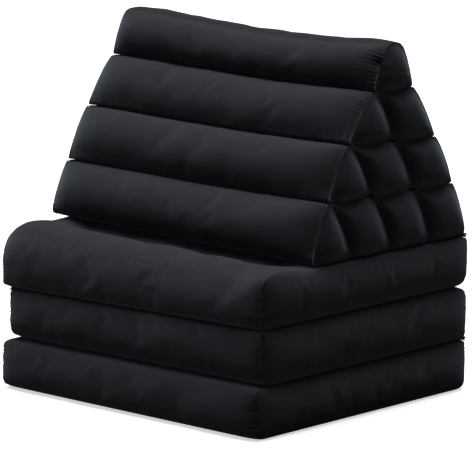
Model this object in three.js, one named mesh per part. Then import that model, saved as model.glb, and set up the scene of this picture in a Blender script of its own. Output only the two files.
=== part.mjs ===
// Triangle cushion with a folding mat, folded up: ten filled rolls sewn into a stepped triangle,
// standing on three filled mat sections that are folded in a zigzag and joined by narrow hinge tapes.
// Millimetres, +Z up, X along the rolls, the front at -Y, the origin on the floor under the mats.

import * as THREE from 'three';

// Clearance between two neighbouring pieces.
const GAP = 0.3;

// Levels from the floor up to the top of the mats. tilt is how much higher a level is at the right-hand end
// than in the middle: the filling has settled unevenly.
const LEVELS = [
  { height: 0, tilt: 0 },
  { height: 78, tilt: 2 },
  { height: 161, tilt: 4.5 },
  { height: 248, tilt: -4.5 },
];
const TILT_REACH = 265; // distance from the middle to the right-hand end

// Mat sections from the floor up, each between two levels. left, right, front and back are its edges.
// The last four columns say how far each long edge is rounded: a hinged edge is tighter than a free one.
const MATS = [
  { name: 'mat_bottom', left: -270, right: 267, front: -256, back: 245,
    frontTop: 12, frontBottom: 18, backTop: 14, backBottom: 16 },
  { name: 'mat_middle', left: -267, right: 267, front: -243, back: 245,
    frontTop: 14, frontBottom: 24, backTop: 24, backBottom: 14 },
  { name: 'mat_top', left: -278, right: 267, front: -243, back: 245,
    frontTop: 46, frontBottom: 14, backTop: 14, backBottom: 24 },
];
const MAT_WALL_BOW = 9; // how far the long walls belly out
const CHANNEL_COUNT = 5; // sewn channels across the upper face of the top mat
const CHANNEL_DEPTH = 11; // depth of a sewn line below the crests
const FRONT_CREST = 5; // extra puff of the front channel, which nothing presses down
const CHANNEL_FADE_START = 30; // a sewn line starts this far from the end panel
const CHANNEL_FADE_END = 95; // and has its full depth from here

// Boundaries between the rows of rolls, from the ridge down to the base.
// height is above the mats, halfDepth is half the depth front to back, sag is the dip between the two ends,
// fall is how much lower the back is than the front.
const BOUNDARIES = [
  { height: 316, halfDepth: 15, sag: 12, fall: 0 },
  { height: 246, halfDepth: 46, sag: 6, fall: 2 },
  { height: 167, halfDepth: 103, sag: 4, fall: 10 },
  { height: 87, halfDepth: 148, sag: 3, fall: 6 },
  { height: 0, halfDepth: 186, sag: 0, fall: 0 },
];
const SAG_LEAN = 0.6; // moves the lowest point of a sag towards the right-hand end
const ROLL_LENGTH = 557; // over the crowned end panels
const CUSHION_X = -14; // the cushion stands a little to the left of the mats
const CUSHION_BACK = 245; // and its base ends at their back edge
const INNER_ROUND = 10; // rounding of a roll's long edges inside the cushion
const SEAM_ROUND = 6; // at the sewn lines of the two outer faces
const BASE_ROUND = 17; // and at the two outer edges of the base
const FACE_BOW = 14; // crown of a roll's outer face
const RIDGE_BOW = 9; // crown of the ridge
const WALL_BOW = 6; // inner walls bow backwards
const SCALLOP = 4; // the underside of a roll presses into the roll below

// End shapes: each row is a ring, fromEnd mm inside the end, drawn in by inset mm from the full section.
// fill is the share of the outer faces' crown that is left there: it goes down to the end seam,
// which is the third ring, and the two rings outside the seam crown the end panel.
const ROLL_END = [
  { fromEnd: 0, inset: 20, fill: 0.15 },
  { fromEnd: 3, inset: 10, fill: 0.15 },
  { fromEnd: 9, inset: 2, fill: 0.15 },
  { fromEnd: 19, inset: 0.6, fill: 0.45 },
  { fromEnd: 38, inset: 0, fill: 0.75 },
  { fromEnd: 80, inset: 0, fill: 1 },
];
const MAT_END = [
  { fromEnd: 0, inset: 26, fill: 0.1 },
  { fromEnd: 3, inset: 12, fill: 0.1 },
  { fromEnd: 8, inset: 1.5, fill: 0.1 },
  { fromEnd: 18, inset: 0.4, fill: 0.4 },
  { fromEnd: 40, inset: 0, fill: 0.75 },
  { fromEnd: 95, inset: 0, fill: 1 },
];

// Hinge tape: a narrow strip of doubled cloth that lies in the groove between two sewn edges.
const TAPE = { outerDepth: 3, innerDepth: 5, outerHalf: 3.3, innerHalf: 1.7, endMargin: 6 };

// Points along a curved side or corner of an outline, and along a roll.
const SIDE_STEPS = 3;
const CORNER_STEPS = 3;
const MIDDLE_RINGS = 3;

const CLOTH = { color: 0x15161a, roughness: 0.92, metalness: 0 };
const TAPE_CLOTH = { color: 0x101114, roughness: 0.95, metalness: 0 };

const point = (y, z) => new THREE.Vector2(y, z);

function namedMesh(name, geometry, finish) {
  const mesh = new THREE.Mesh(geometry, new THREE.MeshStandardMaterial(finish));
  mesh.name = name;
  return mesh;
}

// Moves each corner inwards so that every side shifts by the same distance.
function insetCorners(corners, distance) {
  return corners.map((corner, i) => {
    const before = corners.at(i - 1).at;
    const after = corners[(i + 1) % corners.length].at;
    const inBefore = corner.at.clone().sub(before).normalize().rotateAround(point(0, 0), Math.PI / 2);
    const inAfter = after.clone().sub(corner.at).normalize().rotateAround(point(0, 0), Math.PI / 2);
    const reach = distance / (1 + inBefore.dot(inAfter));
    return { ...corner, at: corner.at.clone().add(inBefore.add(inAfter).multiplyScalar(reach)) };
  });
}

// Outline of a filled section, counter-clockwise: corners are cut back by round and rounded,
// and the side that follows each corner bows out by bow.
function filledOutline(corners) {
  const cuts = corners.map((corner, i) => {
    const toBefore = corners.at(i - 1).at.clone().sub(corner.at).setLength(corner.round);
    const toAfter = corners[(i + 1) % corners.length].at.clone().sub(corner.at).setLength(corner.round);
    return { enter: corner.at.clone().add(toBefore), leave: corner.at.clone().add(toAfter) };
  });
  return corners.flatMap((corner, i) => {
    const { enter, leave } = cuts[i];
    const next = cuts[(i + 1) % cuts.length].enter;
    const outward = next.clone().sub(leave).normalize().rotateAround(point(0, 0), -Math.PI / 2);
    const belly = leave.clone().lerp(next, 0.5).addScaledVector(outward, 2 * corner.bow);
    const turn = new THREE.QuadraticBezierCurve(enter, corner.at, leave).getPoints(CORNER_STEPS);
    const side = new THREE.QuadraticBezierCurve(leave, belly, next).getPoints(SIDE_STEPS);
    return [...turn.slice(0, -1), ...side.slice(0, -1)];
  });
}

// Draws an outline in towards its own middle by about the same distance all round.
function drawnIn(outline, inset) {
  const box = new THREE.Box2().setFromPoints(outline);
  const middle = box.getCenter(point(0, 0));
  const half = box.getSize(point(0, 0)).multiplyScalar(0.5);
  const shrink = point(1 - inset / half.x, 1 - inset / half.y);
  return outline.map((p) => p.clone().sub(middle).multiply(shrink).add(middle));
}

// Closed solid through a list of rings with the same number of points, with a fan over each end.
function loft(rings) {
  const count = rings[0].length;
  const index = [];
  for (let r = 0; r < rings.length - 1; r++) {
    for (let i = 0; i < count; i++) {
      const a = r * count + i;
      const b = r * count + ((i + 1) % count);
      index.push(a, b, a + count, b, b + count, a + count);
    }
  }
  const vertices = rings.flat();
  const last = (rings.length - 1) * count;
  const [firstHub, lastHub] = [rings[0], rings.at(-1)].map((ring) => {
    const hub = ring.reduce((sum, p) => sum.add(p), new THREE.Vector3()).divideScalar(count);
    return vertices.push(hub) - 1;
  });
  for (let i = 0; i < count; i++) {
    const j = (i + 1) % count;
    index.push(firstHub, j, i, lastHub, last + i, last + j);
  }
  const geometry = new THREE.BufferGeometry().setFromPoints(vertices);
  geometry.setIndex(index);
  geometry.computeVertexNormals();
  return geometry;
}

// A stuffed length of cloth from left to right: section(x, fill) gives the full outline there,
// and end lists the rings of both ends.
function stuffed(section, left, right, end) {
  const fromLeft = end.map((ring) => ({ ...ring, x: left + ring.fromEnd }));
  const fromRight = end.map((ring) => ({ ...ring, x: right - ring.fromEnd })).reverse();
  const start = fromLeft.at(-1).x;
  const span = fromRight[0].x - start;
  const middle = Array.from({ length: MIDDLE_RINGS }, (_, i) => (
    { x: start + (span * (i + 1)) / (MIDDLE_RINGS + 1), inset: 0, fill: 1 }
  ));
  return loft([...fromLeft, ...middle, ...fromRight].map(({ x, inset, fill }) => (
    drawnIn(section(x, fill), inset).map((p) => new THREE.Vector3(x, p.x, p.y))
  )));
}

// How deep the sewn lines are at x: they fade out before the end panels.
function channelDepth(mat, x) {
  const fromEnd = Math.min(x - mat.left, mat.right - x);
  return CHANNEL_DEPTH * THREE.MathUtils.smoothstep(fromEnd, CHANNEL_FADE_START, CHANNEL_FADE_END);
}

// Sewn lines of the top mat, from the back to the front, with the crests between them.
function channelCorners(mat, top, x) {
  const pitch = (mat.back - mat.front) / CHANNEL_COUNT;
  const depth = channelDepth(mat, x);
  return Array.from({ length: CHANNEL_COUNT - 1 }, (_, i) => {
    const isFront = i === CHANNEL_COUNT - 2;
    return {
      at: point(mat.back - (i + 1) * pitch, top - depth),
      round: pitch / 10,
      bow: (depth + (isFront ? FRONT_CREST : 0)) / (isFront ? 2 : 1),
    };
  });
}

// Height of a level at x.
function levelAt(index, x) {
  return LEVELS[index].height + (LEVELS[index].tilt * x) / TILT_REACH;
}

function matMesh(mat, index) {
  const isTop = mat === MATS.at(-1);
  const section = (x, fill) => {
    const floor = levelAt(index, x);
    const top = levelAt(index + 1, x) - GAP;
    return filledOutline([
      { at: point(mat.front, floor), round: mat.frontBottom, bow: 0 },
      { at: point(mat.back, floor), round: mat.backBottom, bow: MAT_WALL_BOW * fill },
      { at: point(mat.back, top), round: mat.backTop, bow: isTop ? channelDepth(mat, x) / 4 : 0 },
      ...(isTop ? channelCorners(mat, top, x) : []),
      { at: point(mat.front, top), round: mat.frontTop, bow: MAT_WALL_BOW * fill },
    ]);
  };
  return namedMesh(mat.name, stuffed(section, mat.left, mat.right, MAT_END), CLOTH);
}

// Point j of row boundary n at x, where the boundary is cut into n equal lengths from front to back.
function boundaryPoint(n, j, x) {
  const { height, halfDepth, sag, fall } = BOUNDARIES[n];
  const isBase = n === BOUNDARIES.length - 1;
  const along = (2 * (x - CUSHION_X)) / ROLL_LENGTH;
  const across = (2 * j) / Math.max(n, 1) - 1;
  const base = isBase ? levelAt(LEVELS.length - 1, x) : LEVELS.at(-1).height;
  const dip = sag * (1 - along * along) * (1 + SAG_LEAN * along);
  const middle = CUSHION_BACK - BOUNDARIES.at(-1).halfDepth;
  return point(middle + across * halfDepth, base + height - dip - (across * fall) / 2);
}

// The same point as a corner of a roll, whose next side bows out by bow.
function rollCorner(n, j, x, bow) {
  const isOuter = j === 0 || j === n;
  const isBase = n === BOUNDARIES.length - 1;
  const outerRound = isBase ? BASE_ROUND : SEAM_ROUND;
  return { at: boundaryPoint(n, j, x), round: isOuter && n > 0 ? outerRound : INNER_ROUND, bow };
}

// Section of roll j in a row, both counted from 1, rows from the ridge and rolls from the front.
// The front roll of a row is a triangle and the others are parallelograms. The ridge roll has a narrow top.
function rollSection(row, j, x, fill) {
  const isBase = row === BOUNDARIES.length - 1;
  const corners = [
    rollCorner(row, j - 1, x, isBase ? 0 : SCALLOP),
    rollCorner(row, j, x, j === row ? FACE_BOW * fill : WALL_BOW),
  ];
  if (row === 1) {
    corners.push(rollCorner(0, 1, x, RIDGE_BOW * fill), rollCorner(0, 0, x, FACE_BOW * fill));
  } else if (j === 1) {
    corners.push(rollCorner(row - 1, 0, x, FACE_BOW * fill));
  } else {
    corners.push(rollCorner(row - 1, j - 1, x, -SCALLOP), rollCorner(row - 1, j - 2, x, -WALL_BOW));
  }
  return filledOutline(insetCorners(corners, GAP / 2));
}

function rollMesh(row, j) {
  const section = (x, fill) => rollSection(row, j, x, fill);
  const left = CUSHION_X - ROLL_LENGTH / 2;
  return namedMesh(`roll_${row}_${j}`, stuffed(section, left, left + ROLL_LENGTH, ROLL_END), CLOTH);
}

// A tape along a hinged edge at y, on a level, from left to right. inward is the direction into the stack.
function hingeTape(name, left, right, y, level, inward) {
  const section = [
    point(inward * TAPE.outerDepth, -TAPE.outerHalf),
    point(inward * TAPE.innerDepth, -TAPE.innerHalf),
    point(inward * TAPE.innerDepth, TAPE.innerHalf),
    point(inward * TAPE.outerDepth, TAPE.outerHalf),
  ];
  const ordered = inward > 0 ? section : section.reverse();
  const ringAt = (x) => ordered.map((p) => (
    new THREE.Vector3(x, y + p.x, levelAt(level, x) - GAP / 2 + p.y)
  ));
  const ends = [left + TAPE.endMargin, right - TAPE.endMargin];
  return namedMesh(name, loft(ends.map(ringAt)), TAPE_CLOTH);
}

const [, middle, top] = MATS;
const cushionRight = CUSHION_X + ROLL_LENGTH / 2;
const assembly = new THREE.Group();

MATS.forEach((mat, index) => assembly.add(matMesh(mat, index)));
for (let row = 1; row < BOUNDARIES.length; row++) {
  for (let j = 1; j <= row; j++) {
    assembly.add(rollMesh(row, j));
  }
}
assembly.add(hingeTape('hinge_back', middle.left, middle.right, middle.back, 1, -1));
assembly.add(hingeTape('hinge_front', middle.left, middle.right, middle.front, 2, 1));
assembly.add(hingeTape('hinge_cushion', top.left, cushionRight, top.back, 3, -1));

export default assembly;
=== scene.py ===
"""Triangle cushion on a folded mat: ten stuffed rolls and three stuffed mats in near-black cotton."""
import math

import bpy
import numpy as np
from mathutils import Matrix, Vector


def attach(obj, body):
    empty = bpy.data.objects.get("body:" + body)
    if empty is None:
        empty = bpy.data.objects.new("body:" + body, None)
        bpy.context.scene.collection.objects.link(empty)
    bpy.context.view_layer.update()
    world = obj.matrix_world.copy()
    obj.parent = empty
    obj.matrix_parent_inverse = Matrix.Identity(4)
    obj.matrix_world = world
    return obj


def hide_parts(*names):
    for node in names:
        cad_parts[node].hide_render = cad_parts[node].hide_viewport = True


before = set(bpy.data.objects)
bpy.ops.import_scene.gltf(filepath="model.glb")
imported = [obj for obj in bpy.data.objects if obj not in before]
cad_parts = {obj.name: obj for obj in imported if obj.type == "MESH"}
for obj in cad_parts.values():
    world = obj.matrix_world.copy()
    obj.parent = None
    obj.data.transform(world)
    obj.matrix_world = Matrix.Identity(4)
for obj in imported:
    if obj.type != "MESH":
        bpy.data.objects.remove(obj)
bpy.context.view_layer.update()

# All lengths below are in millimetres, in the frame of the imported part, and become metres in each mesh.
MM = 0.001
SEED = 23

# Levels from the floor up to the top of the mats: height, and rise at the right-hand end.
LEVELS = [(0, 0), (78, 2), (161, 4.5), (248, -4.5)]
TILT_REACH = 265
GAP = 0.3

# Mats from the floor up: name, left, right, front, back, then the rounding of the four long edges.
MATS = [
    dict(name="mat_bottom", left=-270, right=267, front=-256, back=245,
         front_top=12, front_bottom=16, back_top=7, back_bottom=14),
    dict(name="mat_middle", left=-267, right=267, front=-243, back=245,
         front_top=7, front_bottom=24, back_top=24, back_bottom=7),
    dict(name="mat_top", left=-278, right=267, front=-243, back=245,
         front_top=46, front_bottom=7, back_top=10, back_bottom=24),
]
MAT_WALL_BOW = 7
CHANNEL_COUNT = 5
CHANNEL_DEPTH = 15
FRONT_CREST = 13
CHANNEL_FADE = (30, 95)
LEFT_DROP = 13  # the front of the top mat falls towards its left-hand end
LEFT_DROP_REACH = 22
LEFT_REACH = 5  # its left-hand end also bellies out a little further

# Boundaries between the rows of rolls from the ridge down: height, half depth, sag and fall.
BOUNDARIES = [(316, 15, 12, 0), (246, 46, 6, 2), (167, 103, 4, 10), (87, 148, 3, 6), (0, 186, 0, 0)]
SAG_LEAN = 0.6
ROLL_LENGTH = 557
CUSHION_X = -14
CUSHION_BACK = 245
BASE = len(BOUNDARIES) - 1
INNER_ROUND = 8
SEAM_ROUND = 2.5
BASE_ROUND = 15
FACE_BOW = 28
RIDGE_BOW = 9
WALL_BOW = 6
SCALLOP = 4
FULLNESS = 2.1
FACE_LEAN = 0.76  # the outer faces are fullest a little above their middle

# The end panels: how far the crown stands out past the end seam, and the seam's own small ridge.
ROLL_CROWN = 10
MAT_CROWN = 8
SEAM_RIDGE = 0.5

# Mesh density: points along the parts of an outline, and steps from an end seam towards the middle.
FACE_POINTS = 22
WALL_POINTS = 10
MAT_WALL_POINTS = 18
MAT_FACE_POINTS = 48
CHANNEL_POINTS = 16
END_STEPS = [0, 1.6, 3.2, 5, 8, 12, 16, 21, 27, 34, 42, 51]
MIDDLE_STEP = 9
CAP_RINGS = [0.965, 0.92, 0.86, 0.78, 0.68, 0.56, 0.42, 0.26, 0.1]
CAP_RIM = -40  # mark of the middle of an end panel; points of the body have marks of zero and above

# How a section changes near an end seam: fill at the seam, reach of the change, draw-in and its reach.
ROLL_END = (0.17, 22, 0.6, 9)
MAT_END = (0.1, 24, 1.5, 8)

# The gathers at the left and right end seams. Those of the ridge roll are the deepest.
GATHERS = {"roll_1_1": (1.4, 2.6)}
PLAIN_GATHERS = (1.0, 1.1)

# The cloth simulation.
PRESSURE = 6
MAT_PRESSURE_SHARE = 0.35
CLOTH_GROWTH = 0.003
CLOTH_FRAMES = 20
MOST_SWELL = 14

# Stitches along the end seams, with the thread's radius at the start, middle and end of a stitch.
STITCH_PITCH = 5.4
STITCH_LENGTH = 3.5
STITCH_RADII = (0.3, 0.55, 0.3)
STITCH_SIDES = 5
STITCH_MARGIN = 3

# Hinge tapes: node, left, right, place along Y, level, direction inwards along Y, and the mat it lies on.
TAPES = [
    ("hinge_back", -267, 267, 245, 1, -1, "mat_middle"),
    ("hinge_front", -267, 267, -243, 2, 1, "mat_middle"),
    ("hinge_cushion", -278, 264.5, 245, 3, -1, "mat_top"),
]
TAPE_HALF_WIDTH = 3.4
TAPE_DEEP = 6.2
TAPE_SHALLOW = 1.2
TAPE_MARGIN = 6

# Cloth colours, dark and light, and the scale of the weave: threads about 0.9 mm wide.
COVER_COLOURS = ((0.0052, 0.0055, 0.0074), (0.0092, 0.0096, 0.0126))
THREAD_COLOURS = ((0.016, 0.0166, 0.02), (0.028, 0.029, 0.035))
TAPE_COLOURS = ((0.008, 0.0083, 0.01), (0.012, 0.0125, 0.015))
THREAD_SCALE = 350

# The camera at the photograph's angle: degrees, metres and the lens in millimetres.
CAMERA_AZIMUTH = 41.223
CAMERA_ELEVATION = 10.657
CAMERA_ROLL = 0.738
CAMERA_DISTANCE = 6.2194
CAMERA_TARGET = (0.00037, -0.00767, 0.25504)
CAMERA_LENS = 306.2

# The lights: strength, angle of the soft disc in degrees, and direction towards the light.
KEY_LIGHT = (3.7, 45, (-0.2, -0.02, 1.6))
FILL_LIGHT = (0.12, 70, (-0.6, -1, 0.3))
SKY_STRENGTH = 0.03
FLOOR_BOUNCE = 0.14
FLOOR_REACH = 14
FLOOR_DROP = -0.0004


def level_at(index, x):
    """Height of a level at x."""
    height, tilt = LEVELS[index]
    return height + tilt * x / TILT_REACH


def reach_of(points):
    """Distance along a line of points, from its first point."""
    return np.concatenate([[0], np.cumsum(np.linalg.norm(np.diff(points, axis=0), axis=1))])


def at_reach(points, wanted):
    """Points at the wanted distances along a line."""
    reach = reach_of(points)
    return np.column_stack([np.interp(wanted, reach, points[:, k]) for k in range(points.shape[1])])


def smoothstep(low, high, value):
    """0 below low, 1 above high and smooth between."""
    t = np.clip((value - low) / (high - low), 0, 1)
    return t * t * (3 - 2 * t)


def bowed_side(a, b, bow, fullness):
    """A side from a to b that bows outwards, on the right-hand side of its direction.

    The sides of an outer face lean: they are fullest nearer to their upper end.
    """
    t = np.linspace(0, 1, 61)[:, None]
    lean = FACE_LEAN if fullness == FULLNESS else 1
    share = t ** lean if b[1] < a[1] else 1 - (1 - t) ** lean
    along = b - a
    outward = np.array([along[1], -along[0]]) / np.linalg.norm(along)
    return a + along * t + outward * bow * (1 - np.abs(2 * share - 1) ** fullness)


def rounded_outline(corners, counts):
    """Closed outline through corners (point, rounding, bow, fullness), with a fixed number of points a side.

    The first point of each side is the middle of its corner, where the sewn line runs.
    """
    total = len(corners)
    sides = []
    for i, (at, _, bow, fullness) in enumerate(corners):
        sides.append(bowed_side(at, corners[(i + 1) % total][0], bow, fullness))
    turns = []
    for i, (at, cut, _, _) in enumerate(corners):
        before = sides[i - 1]
        enter = at_reach(before, [reach_of(before)[-1] - cut])[0]
        leave = at_reach(sides[i], [cut])[0]
        t = np.linspace(0, 1, 11)[:, None]
        turns.append(enter * (1 - t) ** 2 + at * 2 * t * (1 - t) + leave * t * t)
    rows = []
    for i, count in enumerate(counts):
        length = reach_of(sides[i])[-1]
        start = corners[i][1]
        end = length - corners[(i + 1) % total][1]
        side = at_reach(sides[i], np.linspace(start, end, 40))
        run = np.vstack([turns[i][5:], side[1:-1], turns[(i + 1) % total][:6]])
        rows.append(at_reach(run, np.linspace(0, reach_of(run)[-1], count + 1))[:-1])
    return np.vstack(rows)


def drawn_in(outline, inset):
    """Draws an outline in towards its own middle by about the same distance all round."""
    low, high = outline.min(axis=0), outline.max(axis=0)
    middle = (low + high) / 2
    return middle + (outline - middle) * (1 - 2 * inset / (high - low))


def inset_corners(points, distance):
    """Moves each corner inwards so that every side shifts by the same distance."""
    moved = []
    for i, at in enumerate(points):
        d1 = at - points[i - 1]
        d2 = points[(i + 1) % len(points)] - at
        n1 = np.array([-d1[1], d1[0]]) / np.linalg.norm(d1)
        n2 = np.array([-d2[1], d2[0]]) / np.linalg.norm(d2)
        moved.append(at + (n1 + n2) * distance / (1 + n1 @ n2))
    return moved


def boundary_point(n, j, x):
    """Point j of row boundary n at x, where the boundary is cut into n equal lengths from front to back."""
    height, half_depth, sag, fall = BOUNDARIES[n]
    along = 2 * (x - CUSHION_X) / ROLL_LENGTH
    across = 2 * j / max(n, 1) - 1
    base = level_at(3, x) if n == BASE else LEVELS[3][0]
    dip = sag * (1 - along * along) * (1 + SAG_LEAN * along)
    middle = CUSHION_BACK - BOUNDARIES[BASE][1]
    return np.array([middle + across * half_depth, base + height - dip - across * fall / 2])


def roll_sides(row, j):
    """The corners (boundary, place) of a roll, with the bow, point count and outer mark of each side."""
    outer = (FACE_BOW, FACE_POINTS, True)
    sides = [(row, j - 1, 0 if row == BASE else SCALLOP, WALL_POINTS + 4 * (row == 1), False)]
    if j == row:
        sides.append((row, j, *outer))
    else:
        sides.append((row, j, WALL_BOW, WALL_POINTS, False))
    if row == 1:
        sides.append((0, 1, RIDGE_BOW, WALL_POINTS, True))
        sides.append((0, 0, *outer))
    elif j == 1:
        sides.append((row - 1, 0, *outer))
    else:
        sides.append((row - 1, j - 1, -SCALLOP, WALL_POINTS, False))
        sides.append((row - 1, j - 2, -WALL_BOW, WALL_POINTS, False))
    return sides


def corner_round(n, j):
    """Rounding of a roll's long edge."""
    if n == 0 or 0 < j < n:
        return INNER_ROUND
    return BASE_ROUND if n == BASE else SEAM_ROUND


def roll_outline(row, j, x, fill):
    """Section of a roll at x, with its outer faces crowned to the share fill."""
    sides = roll_sides(row, j)
    places = inset_corners([boundary_point(n, k, x) for n, k, *_ in sides], GAP / 2)
    corners = []
    for at, (n, k, bow, _, is_outer) in zip(places, sides):
        corners.append((at, corner_round(n, k), bow * (fill if is_outer else 1), FULLNESS if is_outer else 2))
    return rounded_outline(corners, [side[3] for side in sides])


def mat_outline(index, x, fill):
    """Section of a mat at x. The upper face of the top mat has sewn lines with crests between them."""
    mat = MATS[index]
    floor = level_at(index, x)
    top = level_at(index + 1, x) - GAP
    corners = [
        (np.array([mat["front"], floor]), mat["front_bottom"], 0, 2),
        (np.array([mat["back"], floor]), mat["back_bottom"], MAT_WALL_BOW * fill, 2.3),
    ]
    is_top = index == 2
    drop = LEFT_DROP * math.exp(-(x - mat["left"]) / LEFT_DROP_REACH) if is_top else 0
    from_end = min(x - mat["left"], mat["right"] - x)
    depth = CHANNEL_DEPTH * smoothstep(*CHANNEL_FADE, from_end)
    corners.append((np.array([mat["back"], top]), mat["back_top"], depth / 4 if is_top else 0, 2))
    if is_top:
        pitch = (mat["back"] - mat["front"]) / CHANNEL_COUNT
        for i in range(1, CHANNEL_COUNT):
            bow = (depth + FRONT_CREST) / 2 if i == CHANNEL_COUNT - 1 else depth * 0.8
            dip = depth + (drop / 2 if i == CHANNEL_COUNT - 1 else 0)
            corners.append((np.array([mat["back"] - i * pitch, top - dip]), 5, bow, 2))
    end_round = min(mat["front_top"], 15)
    front_top = end_round + (mat["front_top"] - end_round) * smoothstep(5, 80, mat["right"] - x)
    corners.append((np.array([mat["front"], top - drop]), front_top, MAT_WALL_BOW * fill, 2.3))
    return rounded_outline(corners, mat_counts(index))


def mat_counts(index):
    """Points along the sides of a mat's outline: underside, back wall, upper face, front wall."""
    upper = [CHANNEL_POINTS] * CHANNEL_COUNT if index == 2 else [MAT_FACE_POINTS]
    return [sum(upper), MAT_WALL_POINTS, *upper, MAT_WALL_POINTS]


def station_list(left, right):
    """Places along X from the left end seam to the right one, closer together near the ends."""
    reach = END_STEPS[-1]
    count = round((right - left - 2 * reach) / MIDDLE_STEP)
    middle = np.linspace(left + reach, right - reach, count + 1)[1:-1]
    return np.concatenate([left + np.array(END_STEPS), middle, right - np.array(END_STEPS[::-1])])


class Skin:
    """Points, faces, weave places and marks of one closed piece of cloth."""

    def __init__(self):
        self.points = []
        self.faces = []
        self.weave = []
        self.loose = []
        self.rim = []
        self.around = []
        self.seams = []

    def add(self, points, loose, rim, around):
        """Adds points with their marks and gives the number of the first one."""
        first = sum(len(p) for p in self.points)
        self.points.append(points)
        for kept, values in ((self.loose, loose), (self.rim, rim), (self.around, around)):
            kept.append(np.broadcast_to(values, len(points)).astype(float))
        return first

    def face(self, numbers, places):
        """Adds a face with the weave place of each of its corners."""
        self.faces.append(numbers)
        self.weave.extend(places)


def outward_normals(outline):
    """Outward direction at each point of a counter-clockwise outline."""
    along = np.roll(outline, -1, axis=0) - np.roll(outline, 1, axis=0)
    along /= np.linalg.norm(along, axis=1)[:, None]
    return np.column_stack([along[:, 1], -along[:, 0]])


def seam_ridge(distance):
    """Height of the cloth above the section near the end seam: a ridge at the seam and a groove beside it."""
    return SEAM_RIDGE * np.exp(-(distance / 1.3) ** 2) - 0.5 * np.exp(-((distance - 3.4) / 1.4) ** 2)


def body_grid(outline_at, left, right, start_fill, fill_reach, seam_inset, inset_reach):
    """Rings of points from the left end seam to the right one."""
    rings = []
    for x in station_list(left, right):
        distance = min(x - left, right - x)
        fill = start_fill + (1 - start_fill) * (1 - math.exp(-distance / fill_reach))
        inset = seam_inset * math.exp(-distance / inset_reach)
        outline = drawn_in(outline_at(x, fill), inset)
        outline = outline + outward_normals(outline) * seam_ridge(distance)
        rings.append(np.column_stack([np.full(len(outline), x), outline]))
    return np.array(rings)


def add_body(skin, grid, outer, left, right):
    """Adds the rings of a body. outer marks the outline points that lie on outer faces, from 0 to 1."""
    total, count = grid.shape[:2]
    lengths = np.linalg.norm(np.roll(grid, -1, axis=1) - grid, axis=2).mean(axis=0)
    around = np.concatenate([[0], np.cumsum(lengths)])
    for ring in grid:
        distance = min(ring[0, 0] - left, right - ring[0, 0])
        skin.add(ring, outer, distance, around[:-1])
    for r in range(total - 1):
        x1, x2 = grid[r, 0, 0], grid[r + 1, 0, 0]
        for i in range(count):
            k = (i + 1) % count
            v1, v2 = around[i], around[i + 1]
            numbers = (r * count + i, r * count + k, (r + 1) * count + k, (r + 1) * count + i)
            skin.face(numbers, ((x1, v1), (x1, v2), (x2, v2), (x2, v1)))
    return around[:-1]


def pillow(ring, points):
    """Rise of a stuffed end panel: nothing at its edges, and more the further a point is from all of them."""
    rise = np.ones(len(points))
    for turn in np.linspace(0, math.tau, 12, endpoint=False):
        direction = np.array([0, math.cos(turn), math.sin(turn)])
        inside = (ring @ direction).max() - points @ direction
        rise *= 1 - np.exp(-np.maximum(inside, 0) / 9)
    return rise


def ring_cap(skin, first, ring, sign, crown, around):
    """Closes an end with rings that shrink to the middle and crown outwards, towards sign along X."""
    count = len(ring)
    middle = ring.mean(axis=0)
    before = np.arange(first, first + count)
    highest = pillow(ring, middle[None, :]).max()
    for rho in CAP_RINGS:
        points = middle + (ring - middle) * rho
        rise = (1 - rho ** 5) * np.minimum(1, pillow(ring, points) / highest)
        points[:, 0] = ring[0, 0] + sign * crown * rise
        start = skin.add(points, 1 - rho ** 6, CAP_RIM * (1 - rho), around)
        after = np.arange(start, start + count)
        for i in range(count):
            k = (i + 1) % count
            order = [before[i], before[k], after[k], after[i]]
            add_cap_face(skin, order if sign < 0 else order[::-1])
        before = after
    hub = middle.copy()
    hub[0] = ring[0, 0] + sign * crown
    last = skin.add(hub[None, :], 1, CAP_RIM, 0)
    for i in range(count):
        order = [before[i], before[(i + 1) % count], last]
        add_cap_face(skin, order if sign < 0 else order[::-1])


def add_cap_face(skin, numbers):
    """Adds a face whose weave lies across the end, as on end panels and stitches."""
    skin.faces.append(tuple(int(n) for n in numbers))
    skin.weave.extend([None] * len(numbers))


def grid_cap(skin, first, ring, counts, sign, crown):
    """Closes an end of a mat with a grid between its four sides, crowned outwards."""
    across = counts[0]
    up = counts[1]
    count = len(ring)
    numbers = np.zeros((across + 1, up + 1), int)
    numbers[:, 0] = first + np.arange(across + 1)
    numbers[across, :] = first + across + np.arange(up + 1)
    numbers[::-1, up] = first + across + up + np.arange(across + 1)
    numbers[0, ::-1] = first + (2 * across + up + np.arange(up + 1)) % count
    edge = {int(n): p for n, p in zip(range(first, first + count), ring)}
    low = np.array([edge[n] for n in numbers[:, 0]])
    high = np.array([edge[n] for n in numbers[:, up]])
    front = np.array([edge[n] for n in numbers[0, :]])
    back = np.array([edge[n] for n in numbers[across, :]])
    u = np.linspace(0, 1, across + 1)[:, None, None]
    v = np.linspace(0, 1, up + 1)[None, :, None]
    flat = (1 - v) * low[:, None] + v * high[:, None] + (1 - u) * front[None] + u * back[None]
    flat -= (1 - u) * (1 - v) * low[0] + u * (1 - v) * low[-1] + (1 - u) * v * high[0] + u * v * high[-1]
    rise = (1 - np.abs(2 * v - 1) ** 2.6) * (1 - np.abs(2 * u - 1) ** 14)
    flat[:, :, 0] += sign * crown * rise[:, :, 0]
    inside = flat[1:-1, 1:-1].reshape(-1, 3)
    edge_share = np.broadcast_to(rise, flat.shape)[1:-1, 1:-1, 0].reshape(-1)
    start = skin.add(inside, edge_share, CAP_RIM * edge_share, 0)
    numbers[1:-1, 1:-1] = start + np.arange(len(inside)).reshape(across - 1, up - 1)
    for i in range(across):
        for j in range(up):
            order = [numbers[i, j], numbers[i + 1, j], numbers[i + 1, j + 1], numbers[i, j + 1]]
            add_cap_face(skin, order[::-1] if sign < 0 else order)


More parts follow.
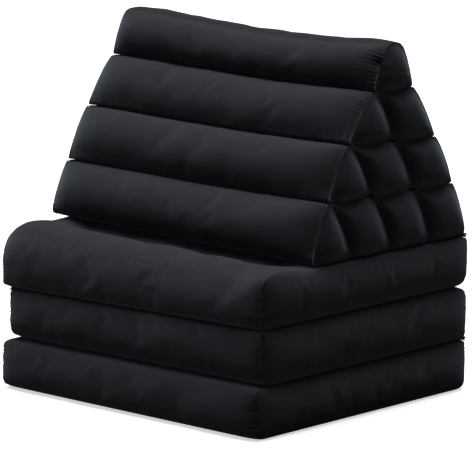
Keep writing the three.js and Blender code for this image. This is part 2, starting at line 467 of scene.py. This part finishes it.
def outer_marks(counts, outer):
    """Marks each outline point: 0 on inner walls and sewn lines, rising to 1 on outer faces."""
    marks = []
    for count, is_outer in zip(counts, outer):
        t = np.arange(count) / count
        marks.append((1 - np.abs(2 * t - 1) ** 6) if is_outer else np.zeros(count))
    return np.concatenate(marks)


def end_seams(grid, counts, stitched):
    """Lines just inside both end seams, along the stitched sides of the outline."""
    lines = []
    starts = np.concatenate([[0], np.cumsum(counts)])
    for ring in (grid[2], grid[-3]):
        closed = np.vstack([ring, ring[:1]])
        lines += [closed[starts[i]:starts[i + 1] + 1] for i, is_on in enumerate(stitched) if is_on]
    return lines


def roll_skin(row, j):
    """The cloth of one roll."""
    left = CUSHION_X - ROLL_LENGTH / 2 + ROLL_CROWN
    right = CUSHION_X + ROLL_LENGTH / 2 - ROLL_CROWN
    sides = roll_sides(row, j)
    grid = body_grid(lambda x, fill: roll_outline(row, j, x, fill), left, right, *ROLL_END)
    skin = Skin()
    outer = outer_marks([side[3] for side in sides], [side[4] for side in sides])
    skin.seams = end_seams(grid, [side[3] for side in sides], [side[4] for side in sides])
    around = add_body(skin, grid, outer, left, right)
    ring_cap(skin, 0, grid[0], -1, ROLL_CROWN, around)
    ring_cap(skin, (len(grid) - 1) * grid.shape[1], grid[-1], 1, ROLL_CROWN, around)
    return skin


def mat_skin(index):
    """The cloth of one mat."""
    mat = MATS[index]
    left = mat["left"] + MAT_CROWN - (LEFT_REACH if index == 2 else 0)
    right = mat["right"] - MAT_CROWN
    grid = body_grid(lambda x, fill: mat_outline(index, x, fill), left, right, *MAT_END)
    skin = Skin()
    counts = mat_counts(index)
    outer = outer_marks(counts, [False, True, *[index == 2] * (len(counts) - 3), True])
    skin.seams = end_seams(grid, counts, [False, True, *[False] * (len(counts) - 4), index == 2, True])
    add_body(skin, grid, outer, left, right)
    cap_counts = [counts[0], counts[1]]
    grid_cap(skin, 0, grid[0], cap_counts, -1, MAT_CROWN)
    grid_cap(skin, (len(grid) - 1) * grid.shape[1], grid[-1], cap_counts, 1, MAT_CROWN)
    return skin


def make_object(name, skin):
    """Blender object of a skin, with its marks as point attributes and its weave as a UV map."""
    points = np.vstack(skin.points) * MM
    mesh = bpy.data.meshes.new(name)
    mesh.from_pydata(points.tolist(), [], skin.faces)
    for label, values in (("loose", skin.loose), ("rim", skin.rim), ("around", skin.around)):
        layer = mesh.attributes.new(label, "FLOAT", "POINT")
        layer.data.foreach_set("value", np.concatenate(values).astype(np.float32))
    corner_points = points[[n for face in skin.faces for n in face]]
    weave = [
        (p[1], p[2]) if place is None else (place[0] * MM, place[1] * MM)
        for place, p in zip(skin.weave, corner_points)
    ]
    mesh.uv_layers.new(name="weave").data.foreach_set("uv", np.array(weave, np.float32).ravel())
    obj = bpy.data.objects.new(name, mesh)
    bpy.context.collection.objects.link(obj)
    mesh.shade_smooth()
    return obj


def subdivided(obj):
    """Refines a piece once and keeps the result as its mesh."""
    finer = obj.modifiers.new("finer", "SUBSURF")
    finer.levels = 1
    finer.render_levels = 1
    graph = bpy.context.evaluated_depsgraph_get()
    finished = obj.evaluated_get(graph)
    mesh = bpy.data.meshes.new_from_object(finished, preserve_all_data_layers=True, depsgraph=graph)
    obj.modifiers.clear()
    old = obj.data
    obj.data = mesh
    mesh.name = obj.name
    bpy.data.meshes.remove(old)


def soft_noise(points, size, seed):
    """Smooth noise of about -1 to 1 with lumps of about the given size."""
    rng = np.random.default_rng(seed)
    total = np.zeros(len(points))
    for _ in range(16):
        direction = rng.normal(size=points.shape[1])
        direction *= math.tau / (2 * size * rng.uniform(0.7, 1.5)) / np.linalg.norm(direction)
        total += np.sin(points @ direction + rng.uniform(0, math.tau))
    return total / 4


def read_marks(mesh):
    """Points and normals of a mesh, and its three marks."""
    count = len(mesh.vertices)
    points = np.empty(count * 3, np.float32)
    normals = np.empty(count * 3, np.float32)
    mesh.vertices.foreach_get("co", points)
    mesh.vertex_normals.foreach_get("vector", normals)
    marks = []
    for label in ("loose", "rim", "around"):
        values = np.empty(count, np.float32)
        mesh.attributes[label].data.foreach_get("value", values)
        marks.append(values.astype(float))
    return points.reshape(-1, 3).astype(float) / MM, normals.reshape(-1, 3).astype(float), *marks


def creases(around, seed, size):
    """Gathers across a seam: rounded ridges with narrow valleys, about -1 to 0.4."""
    wave = soft_noise(around[:, None], size, seed)
    return 0.4 - np.abs(wave) ** 0.8


def rumple(obj, seed, left_gather, right_gather):
    """Gathers the cloth at the end seams and along the sewn lines, makes the filling a little uneven, and
    marks a painted highlight along the seam ridges and the crests of the gathers.
    """
    points, normals, loose, rim, around = read_marks(obj.data)
    middle = (points[:, 0].min() + points[:, 0].max()) / 2
    on_right = points[:, 0] > middle
    gather = np.where(on_right, right_gather, left_gather)
    side_seed = np.where(on_right, 1, 0)
    body = rim >= 0
    lumps = 0.8 * soft_noise(points, 75, seed) + 0.35 * soft_noise(points, 26, seed + 1)
    settle = 1 - np.exp(-np.maximum(np.abs(rim), 0) / 18)
    move = lumps * loose * np.where(body, settle, 0.6)
    for side in (0, 1):
        here = side_seed == side
        fold = creases(around, seed + 5 + side, 6.5)
        reach = 9 + 9 * np.clip(0.5 + 0.5 * soft_noise(around[:, None], 9, seed + 9 + side), 0, 1)
        fade = np.where(body, np.exp(-np.maximum(rim - 2.5, 0) / reach), 0.6 * np.exp(rim / 9))
        move += np.where(here, gather * fold * fade * np.minimum(1, 2 * loose), 0)
    near_line = 4 * loose * (1 - loose) * np.where(body, settle, 0)
    move += 0.8 * near_line * creases(points[:, 0] + 0.35 * around, seed + 13, 10)
    # Painted highlight: a lighter colour on the seam ridge and on the crests of the gathers beside it,
    # standing in for light caught along the seams.
    seam_highlight = 0.05 * np.exp(-(rim / 1.6) ** 2)
    seam_highlight += 0.25 * np.clip(creases(around, seed + 21, 5), 0, 1) * np.exp(-np.abs(rim) / 4)
    layer = obj.data.attributes.new("seam_highlight", "FLOAT", "POINT")
    layer.data.foreach_set("value", seam_highlight.astype(np.float32))
    moved = (points + normals * move[:, None]) * MM
    obj.data.vertices.foreach_set("co", moved.astype(np.float32).ravel())
    obj.data.update()


def held_points(obj, loose, rim, free_ends):
    """How firmly each point is held: seams and inner walls fully, outer panels not at all."""
    panel = 1 - loose * (1 - np.exp(-np.maximum(rim - 1, 0) / 3))
    end = 1 - loose if free_ends else np.ones(len(loose))
    group = obj.vertex_groups.new(name="held")
    for place, weight in enumerate(np.where(rim > 0, panel, end)):
        if weight > 0.02:
            group.add([place], min(1.0, float(weight)), "REPLACE")


def add_cloth(obj, pressure):
    """Gives a piece its cloth simulation."""
    cloth = obj.modifiers.new("cloth", "CLOTH")
    settings = cloth.settings
    settings.quality = 4
    settings.vertex_group_mass = "held"
    settings.use_pressure = True
    settings.uniform_pressure_force = pressure
    settings.shrink_min = -CLOTH_GROWTH
    settings.bending_stiffness = 0.4
    settings.effector_weights.gravity = 0
    cloth.collision_settings.use_collision = False
    cloth.point_cache.frame_start = 1
    cloth.point_cache.frame_end = CLOTH_FRAMES


def keep_swell(obj, graph):
    """Keeps the simulated shape as the piece's mesh, with the largest moves held back."""
    before = read_marks(obj.data)[0]
    swollen = obj.evaluated_get(graph).to_mesh()
    after = np.empty(len(before) * 3, np.float32)
    swollen.vertices.foreach_get("co", after)
    move = after.reshape(-1, 3) / MM - before
    length = np.linalg.norm(move, axis=1)
    move *= (1 / (1 + length / MOST_SWELL))[:, None]
    obj.evaluated_get(graph).to_mesh_clear()
    obj.modifiers.clear()
    obj.data.vertices.foreach_set("co", ((before + move) * MM).astype(np.float32).ravel())
    obj.data.update()


def inflate(objects, mats):
    """Blows up the outer panels as cloth, with the sewn lines and inner walls held, and keeps the result."""
    for number, obj in enumerate(objects):
        points, normals, loose, rim, _ = read_marks(obj.data)
        uneven = 0.3 * loose * (rim > 6) * soft_noise(points, 34, SEED + 300 + number)
        start = (points + normals * uneven[:, None]) * MM
        obj.data.vertices.foreach_set("co", start.astype(np.float32).ravel())
        is_mat = obj.name in mats
        held_points(obj, loose, rim, is_mat)
        add_cloth(obj, PRESSURE * (MAT_PRESSURE_SHARE if is_mat else 1))
    scene = bpy.context.scene
    for number in range(1, CLOTH_FRAMES + 1):
        scene.frame_set(number)
    graph = bpy.context.evaluated_depsgraph_get()
    for obj in objects:
        keep_swell(obj, graph)
    scene.frame_set(1)


def noise_node(nodes, links, source, scale, detail):
    """Noise over the weave's own places."""
    node = nodes.new("ShaderNodeTexNoise")
    node.inputs["Scale"].default_value = scale
    node.inputs["Detail"].default_value = detail
    links.new(source.outputs[0], node.inputs["Vector"])
    return node


def stretched(nodes, links, source, scale):
    """The weave's places with another scale each way."""
    node = nodes.new("ShaderNodeMapping")
    node.inputs["Scale"].default_value = scale
    links.new(source.outputs[0], node.inputs["Vector"])
    return node


def math_node(nodes, links, operation, first, second, third=None, factor=None):
    """A calculation on two or three values; factor stands in for a second value that is a plain number."""
    node = nodes.new("ShaderNodeMath")
    node.operation = operation
    links.new(first, node.inputs[0])
    if second is not None:
        links.new(second, node.inputs[1])
    if factor is not None:
        node.inputs[1].default_value = factor
    if third is not None:
        links.new(third, node.inputs[2])
    return node


def cloth_material(name, dark, light):
    """Matte plain-woven cotton, with lint flecks and a painted highlight along the seams."""
    material = bpy.data.materials.new(name)
    material.use_nodes = True
    nodes, links = material.node_tree.nodes, material.node_tree.links
    shader = nodes["Principled BSDF"]
    shader.inputs["Specular IOR Level"].default_value = 0.2
    shader.inputs["Sheen Weight"].default_value = 0.34
    shader.inputs["Sheen Roughness"].default_value = 0.5
    shader.inputs["Sheen Tint"].default_value = (0.8, 0.88, 1.0, 1.0)
    place = nodes.new("ShaderNodeUVMap")
    place.uv_map = "weave"
    mottle = noise_node(nodes, links, place, 26, 6)
    slub_across = noise_node(nodes, links, stretched(nodes, links, place, (70, 1500, 1)), 1, 2)
    slub_along = noise_node(nodes, links, stretched(nodes, links, place, (1500, 70, 1)), 1, 2)
    lint = noise_node(nodes, links, place, 1400, 1)
    slub = math_node(nodes, links, "ADD", slub_across.outputs["Fac"], slub_along.outputs["Fac"])
    tone = math_node(nodes, links, "MULTIPLY_ADD", slub.outputs[0], None, mottle.outputs["Fac"], 0.35)
    ramp = nodes.new("ShaderNodeValToRGB")
    ramp.color_ramp.elements[0].position = 0.62
    ramp.color_ramp.elements[0].color = (*dark, 1)
    ramp.color_ramp.elements[1].position = 1.08
    ramp.color_ramp.elements[1].color = (*light, 1)
    links.new(tone.outputs[0], ramp.inputs["Fac"])
    fleck = nodes.new("ShaderNodeMapRange")
    fleck.inputs["From Min"].default_value = 0.7
    fleck.inputs["From Max"].default_value = 0.8
    fleck.inputs["To Max"].default_value = 0.5
    links.new(lint.outputs["Fac"], fleck.inputs["Value"])
    # The point mark read here is a painted highlight along the seam ridges and gather crests. It is mixed
    # with the real lint flecks towards a colour three times the light cloth colour.
    seam_highlight = nodes.new("ShaderNodeAttribute")
    seam_highlight.attribute_name = "seam_highlight"
    lint_and_highlight = math_node(nodes, links, "MAXIMUM", fleck.outputs[0], seam_highlight.outputs["Fac"])
    blend = nodes.new("ShaderNodeMix")
    blend.data_type = "RGBA"
    links.new(lint_and_highlight.outputs[0], blend.inputs[0])
    links.new(ramp.outputs["Color"], blend.inputs[6])
    blend.inputs[7].default_value = (light[0] * 3, light[1] * 3, light[2] * 3, 1)
    links.new(blend.outputs[2], shader.inputs["Base Color"])
    rough = nodes.new("ShaderNodeMapRange")
    rough.inputs["To Min"].default_value = 0.82
    rough.inputs["To Max"].default_value = 0.98
    links.new(mottle.outputs["Fac"], rough.inputs["Value"])
    links.new(rough.outputs[0], shader.inputs["Roughness"])
    threads = []
    for direction in ("X", "Y"):
        thread = nodes.new("ShaderNodeTexWave")
        thread.bands_direction = direction
        thread.inputs["Scale"].default_value = THREAD_SCALE
        thread.inputs["Distortion"].default_value = 1.2
        thread.inputs["Detail Scale"].default_value = 0.6
        links.new(place.outputs["UV"], thread.inputs["Vector"])
        threads.append(thread)
    weave = math_node(nodes, links, "MULTIPLY", threads[0].outputs["Fac"], threads[1].outputs["Fac"])
    height = math_node(nodes, links, "MULTIPLY_ADD", slub.outputs[0], None, weave.outputs[0], 0.8)
    bump = nodes.new("ShaderNodeBump")
    bump.inputs["Strength"].default_value = 0.35
    bump.inputs["Distance"].default_value = 0.0004
    links.new(height.outputs[0], bump.inputs["Height"])
    links.new(bump.outputs["Normal"], shader.inputs["Normal"])
    return material


def hinge_tape(name, left, right, y, level, inward):
    """A strip of tape folded into the groove between two hinged edges."""
    half = TAPE_HALF_WIDTH
    between = (TAPE_SHALLOW + TAPE_DEEP) / 2
    xs = np.linspace(left + TAPE_MARGIN, right - TAPE_MARGIN, 90)
    section = [
        (TAPE_SHALLOW, -half),
        (between, -half * 0.42),
        (TAPE_DEEP, 0),
        (between, half * 0.42),
        (TAPE_SHALLOW, half),
    ]
    points = []
    for x in xs:
        z = level_at(level, x) - GAP / 2
        points.extend((x, y + inward * d, z + h) for d, h in section)
    width = len(section)
    skin = Skin()
    skin.add(np.array(points), 0, 20, 0)
    for r in range(len(xs) - 1):
        for i in range(width - 1):
            numbers = (r * width + i, r * width + i + 1, (r + 1) * width + i + 1, (r + 1) * width + i)
            places = [(points[n][0], (n % width) * 3.0) for n in numbers]
            skin.face(numbers if inward < 0 else numbers[::-1], places)
    obj = make_object(name, skin)
    legs = sum(math.dist(section[i], section[i + 1]) for i in range(width - 1))
    return obj, (legs * MM, (xs[-1] - xs[0]) * MM)


def add_camera():
    """Camera at the photograph's angle."""
    azimuth = math.radians(CAMERA_AZIMUTH)
    elevation = math.radians(CAMERA_ELEVATION)
    roll = math.radians(CAMERA_ROLL)
    level = math.cos(elevation)
    back = Vector((math.sin(azimuth) * level, -math.cos(azimuth) * level, math.sin(elevation)))
    right = Vector((math.cos(azimuth), math.sin(azimuth), 0))
    up = back.cross(right)
    side = right * math.cos(roll) + up * math.sin(roll)
    head = up * math.cos(roll) - right * math.sin(roll)
    camera = bpy.data.cameras.new("camera")
    camera.sensor_width = 36
    camera.lens = CAMERA_LENS
    camera.clip_end = 100
    obj = bpy.data.objects.new("camera", camera)
    turn = Matrix((side, head, back)).transposed().to_4x4()
    obj.matrix_world = Matrix.Translation(Vector(CAMERA_TARGET) + back * CAMERA_DISTANCE) @ turn
    bpy.context.collection.objects.link(obj)
    bpy.context.scene.camera = obj


def camera_switch(tree, others, seen, output):
    """Shows the camera one shader and all other rays another."""
    path = tree.nodes.new("ShaderNodeLightPath")
    mix = tree.nodes.new("ShaderNodeMixShader")
    tree.links.new(path.outputs["Is Camera Ray"], mix.inputs["Fac"])
    tree.links.new(others.outputs[0], mix.inputs[1])
    tree.links.new(seen.outputs[0], mix.inputs[2])
    tree.links.new(mix.outputs["Shader"], tree.nodes[output].inputs["Surface"])


def add_floor():
    """White floor, which throws only a little light back onto the cloth."""
    mesh = bpy.data.meshes.new("floor")
    signs = ((-1, -1), (1, -1), (1, 1), (-1, 1))
    corners = [(x * FLOOR_REACH, y * FLOOR_REACH, FLOOR_DROP) for x, y in signs]
    mesh.from_pydata(corners, [], [(0, 1, 2, 3)])
    floor = bpy.data.objects.new("floor", mesh)
    bpy.context.collection.objects.link(floor)
    material = bpy.data.materials.new("floor")
    material.use_nodes = True
    nodes = material.node_tree.nodes
    shader = nodes["Principled BSDF"]
    shader.inputs["Base Color"].default_value = (0.85, 0.87, 0.9, 1)
    shader.inputs["Roughness"].default_value = 0.9
    shader.inputs["Emission Color"].default_value = (1, 1, 1, 1)
    shader.inputs["Emission Strength"].default_value = 0.6
    dim = nodes.new("ShaderNodeBsdfDiffuse")
    dim.inputs["Color"].default_value = (FLOOR_BOUNCE, FLOOR_BOUNCE, FLOOR_BOUNCE, 1)
    camera_switch(material.node_tree, dim, shader, "Material Output")
    mesh.materials.append(material)


def add_sky():
    """A dim sky that the camera sees as plain white."""
    world = bpy.data.worlds.new("studio")
    bpy.context.scene.world = world
    world.use_nodes = True
    nodes = world.node_tree.nodes
    sky = nodes["Background"]
    sky.inputs["Color"].default_value = (0.9, 0.95, 1, 1)
    sky.inputs["Strength"].default_value = SKY_STRENGTH
    white = nodes.new("ShaderNodeBackground")
    white.inputs["Color"].default_value = (1, 1, 1, 1)
    white.inputs["Strength"].default_value = 1.0
    camera_switch(world.node_tree, sky, white, "World Output")


def add_light(name, energy, angle, toward):
    """A soft distant light."""
    light = bpy.data.lights.new(name, "SUN")
    light.energy = energy
    light.angle = math.radians(angle)
    lamp = bpy.data.objects.new(name, light)
    lamp.rotation_euler = Vector(toward).to_track_quat("Z", "Y").to_euler()
    bpy.context.collection.objects.link(lamp)


def add_stage():
    """Floor, sky, a soft key light from above and a weak fill from the front."""
    add_floor()
    add_sky()
    add_light("key", *KEY_LIGHT)
    add_light("fill", *FILL_LIGHT)
    bpy.context.scene.view_settings.view_transform = "Standard"


def add_stitch(skin, path):
    """Adds one stitch, a thread that lies on a cloth through three places with their normals."""
    along = path[2][0] - path[0][0]
    along /= np.linalg.norm(along)
    turns = [math.tau * k / STITCH_SIDES for k in range(STITCH_SIDES)]
    rows = []
    for (near, normal), radius in zip(path, STITCH_RADII):
        side = np.cross(along, normal)
        centre = near + normal * radius * 0.4
        rows.append([centre + radius * (math.cos(a) * side + math.sin(a) * normal) for a in turns])
    first = skin.add(np.array(rows).reshape(-1, 3), 0, 0, 0)
    for start in (first, first + STITCH_SIDES):
        for k in range(STITCH_SIDES):
            n = (k + 1) % STITCH_SIDES
            after = start + STITCH_SIDES
            add_cap_face(skin, (start + k, after + k, after + n, start + n))
    last = first + 3 * STITCH_SIDES - 1
    add_cap_face(skin, [first + k for k in range(STITCH_SIDES)])
    add_cap_face(skin, [last - k for k in range(STITCH_SIDES)])


def add_stitches(skin, obj, lines):
    """Adds short stitches that lie on a finished piece, along lines near its seams."""
    for line in lines:
        count = int((reach_of(line)[-1] - 2 * STITCH_MARGIN) / STITCH_PITCH)
        for start in STITCH_MARGIN + STITCH_PITCH * np.arange(count):
            path = []
            for place in at_reach(line, start + STITCH_LENGTH * np.array([0, 0.5, 1])):
                _, near, normal, _ = obj.closest_point_on_mesh(Vector(place * MM))
                path.append((np.array(near) / MM, np.array(normal)))
            add_stitch(skin, path)


add_camera()
add_stage()

cover = cloth_material("cover_cloth", *COVER_COLOURS)
thread_cloth = cloth_material("thread_cloth", *THREAD_COLOURS)
tape_cloth = cloth_material("tape_cloth", *TAPE_COLOURS)

pieces = []
for index, mat in enumerate(MATS):
    skin = mat_skin(index)
    pieces.append((mat["name"], make_object("cloth_" + mat["name"], skin), skin.seams))
for row in range(1, BASE + 1):
    for j in range(1, row + 1):
        name = f"roll_{row}_{j}"
        skin = roll_skin(row, j)
        pieces.append((name, make_object("cloth_" + name, skin), skin.seams))

inflate([obj for _, obj, _ in pieces], ["cloth_" + mat["name"] for mat in MATS])
threads = Skin()
for number, (node, obj, seams) in enumerate(pieces):
    subdivided(obj)
    rumple(obj, SEED + 40 * number, *GATHERS.get(node, PLAIN_GATHERS))
    obj.data.materials.clear()
    obj.data.materials.append(cover)
    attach(obj, "root")
    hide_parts(node)
    add_stitches(threads, obj, seams)

stitches = make_object("seam_stitches", threads)
stitches.data.materials.append(thread_cloth)
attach(stitches, "root")

for node, *where, lies_on in TAPES:
    obj, flat = hinge_tape("cloth_" + node, *where)
    obj.data.materials.append(tape_cloth)
    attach(obj, "root")
    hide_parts(node)
